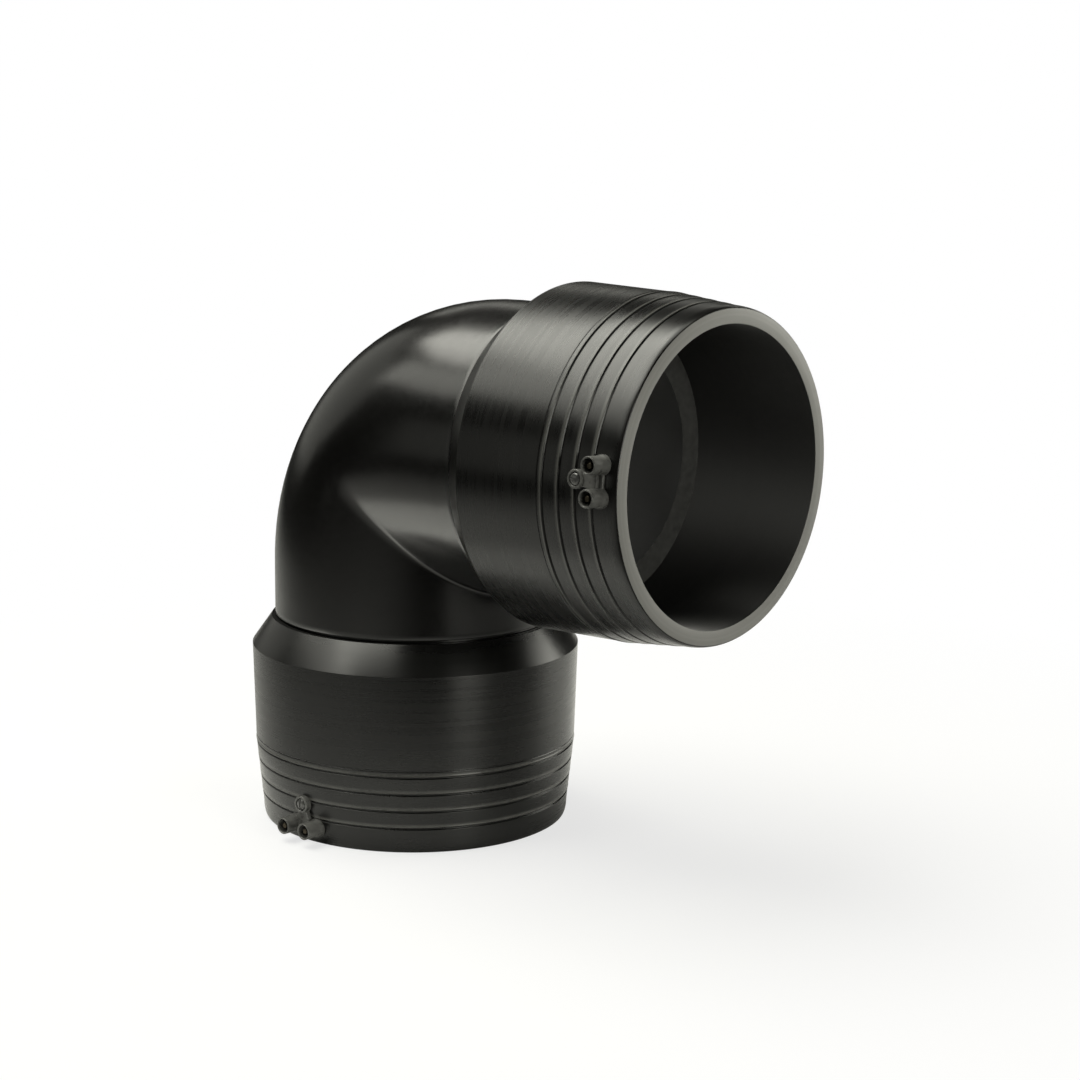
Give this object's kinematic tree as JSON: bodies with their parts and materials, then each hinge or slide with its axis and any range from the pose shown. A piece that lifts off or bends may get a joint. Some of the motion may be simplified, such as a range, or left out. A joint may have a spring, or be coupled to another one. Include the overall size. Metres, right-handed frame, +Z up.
{
  "type": "electrofusion elbow",
  "caption": "Black polyethylene 90 degree elbow whose turned sockets weld onto pipe by a heating wire in the wall, with shrouded terminals and fusion indicators.",
  "frame": {"origin": "bottom centre of the whole elbow's box, on the plane of the lower socket's mouth; the two socket axes cross 0.282 m above it", "axes": "+Z up along the lower socket's axis, away from its mouth; +X along the upper socket's axis, out of its mouth; -Y the side that carries the terminals"},
  "size_m": [0.4018, 0.2474, 0.4017],
  "materials": {
    "moulded_polyethylene": "smooth satin moulded black polyethylene",
    "turned_polyethylene": "turned black polyethylene with fine lathe lines",
    "terminal_polyethylene": "moulded dark grey-black polyethylene",
    "pin_brass": "turned brass contact pin",
    "heating_wire": "drawn resistance wire of copper alloy"
  },
  "bodies": {
    "root": {"bend": "moulded_polyethylene", "upper_socket": "turned_polyethylene", "lower_socket": "turned_polyethylene", "upper_terminal_block": "terminal_polyethylene", "lower_terminal_block": "terminal_polyethylene", "upper_fusion_indicator": "terminal_polyethylene", "lower_fusion_indicator": "terminal_polyethylene", "upper_terminal_pin_a": "pin_brass", "upper_terminal_pin_b": "pin_brass", "lower_terminal_pin_a": "pin_brass", "lower_terminal_pin_b": "pin_brass", "upper_heating_coil": "heating_wire", "lower_heating_coil": "heating_wire"}
  },
  "joints": []
}
